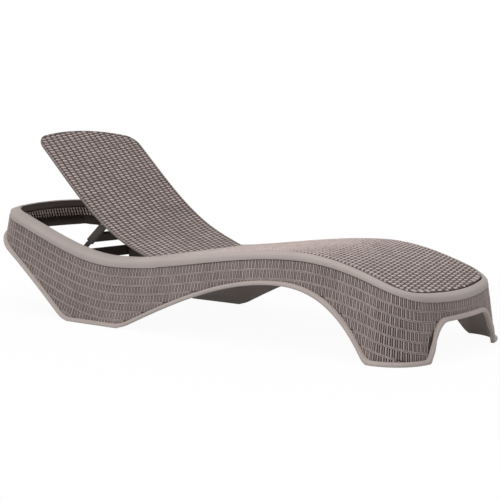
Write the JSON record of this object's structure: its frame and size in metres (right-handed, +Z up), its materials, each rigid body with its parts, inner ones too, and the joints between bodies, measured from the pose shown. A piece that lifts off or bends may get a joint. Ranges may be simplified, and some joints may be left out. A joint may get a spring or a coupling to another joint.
{
  "type": "sun lounger",
  "caption": "Moulded wicker-look sun lounger: a wave-shaped rim over a flared woven skirt with arched feet, a woven seat deck and a reclining woven backrest on a folding prop stay.",
  "frame": {"origin": "on the floor, in the middle of the lounger's length and width", "axes": "+X towards the toe end, +Y to the sitter's left, +Z up"},
  "size_m": [1.9556, 0.729, 0.7055],
  "materials": {
    "woven_resin": "moulded weave relief, satin",
    "smooth_resin": "smooth moulded, satin",
    "dark_resin": "smooth moulded, matt",
    "steel": "plain"
  },
  "bodies": {
    "base": {"left_side_panel": "woven_resin", "right_side_panel": "woven_resin", "head_end_panel": "woven_resin", "toe_end_panel": "woven_resin", "top_rim": "smooth_resin", "waist_bar": "smooth_resin", "seat_deck": "woven_resin", "thigh_rib": "dark_resin", "knee_rib": "dark_resin", "calf_rib": "dark_resin", "left_hinge_bracket": "dark_resin", "right_hinge_bracket": "dark_resin", "left_hinge_pin": "steel", "right_hinge_pin": "steel", "left_notched_rail": "dark_resin", "right_notched_rail": "dark_resin", "cross_beam": "dark_resin"},
    "backrest": {"backrest_panel": "woven_resin", "left_back_stringer": "dark_resin", "right_back_stringer": "dark_resin", "lower_back_rib": "dark_resin", "middle_back_rib": "dark_resin", "upper_back_rib": "dark_resin", "left_inner_stay_cheek": "dark_resin", "left_outer_stay_cheek": "dark_resin", "right_inner_stay_cheek": "dark_resin", "right_outer_stay_cheek": "dark_resin", "left_stay_pin": "steel", "right_stay_pin": "steel"},
    "stay": {"left_stay_leg": "dark_resin", "right_stay_leg": "dark_resin", "stay_cross_panel": "dark_resin"}
  },
  "joints": [
    {"name": "backrest_recline", "type": "hinge", "parent": "base", "child": "backrest", "pos_m": [-0.13875, 0, 0.2405], "axis": [0, 1, 0], "range_deg": [-24, 12]},
    {"name": "stay_fold", "type": "hinge", "parent": "backrest", "child": "stay", "pos_m": [-0.42925, 0, 0.356], "axis": [0, 1, 0], "range_deg": [-36, 71]}
  ],
  "couplings": [
    {"joint": "stay_fold", "follows": "backrest_recline", "ratio": -2.9}
  ]
}
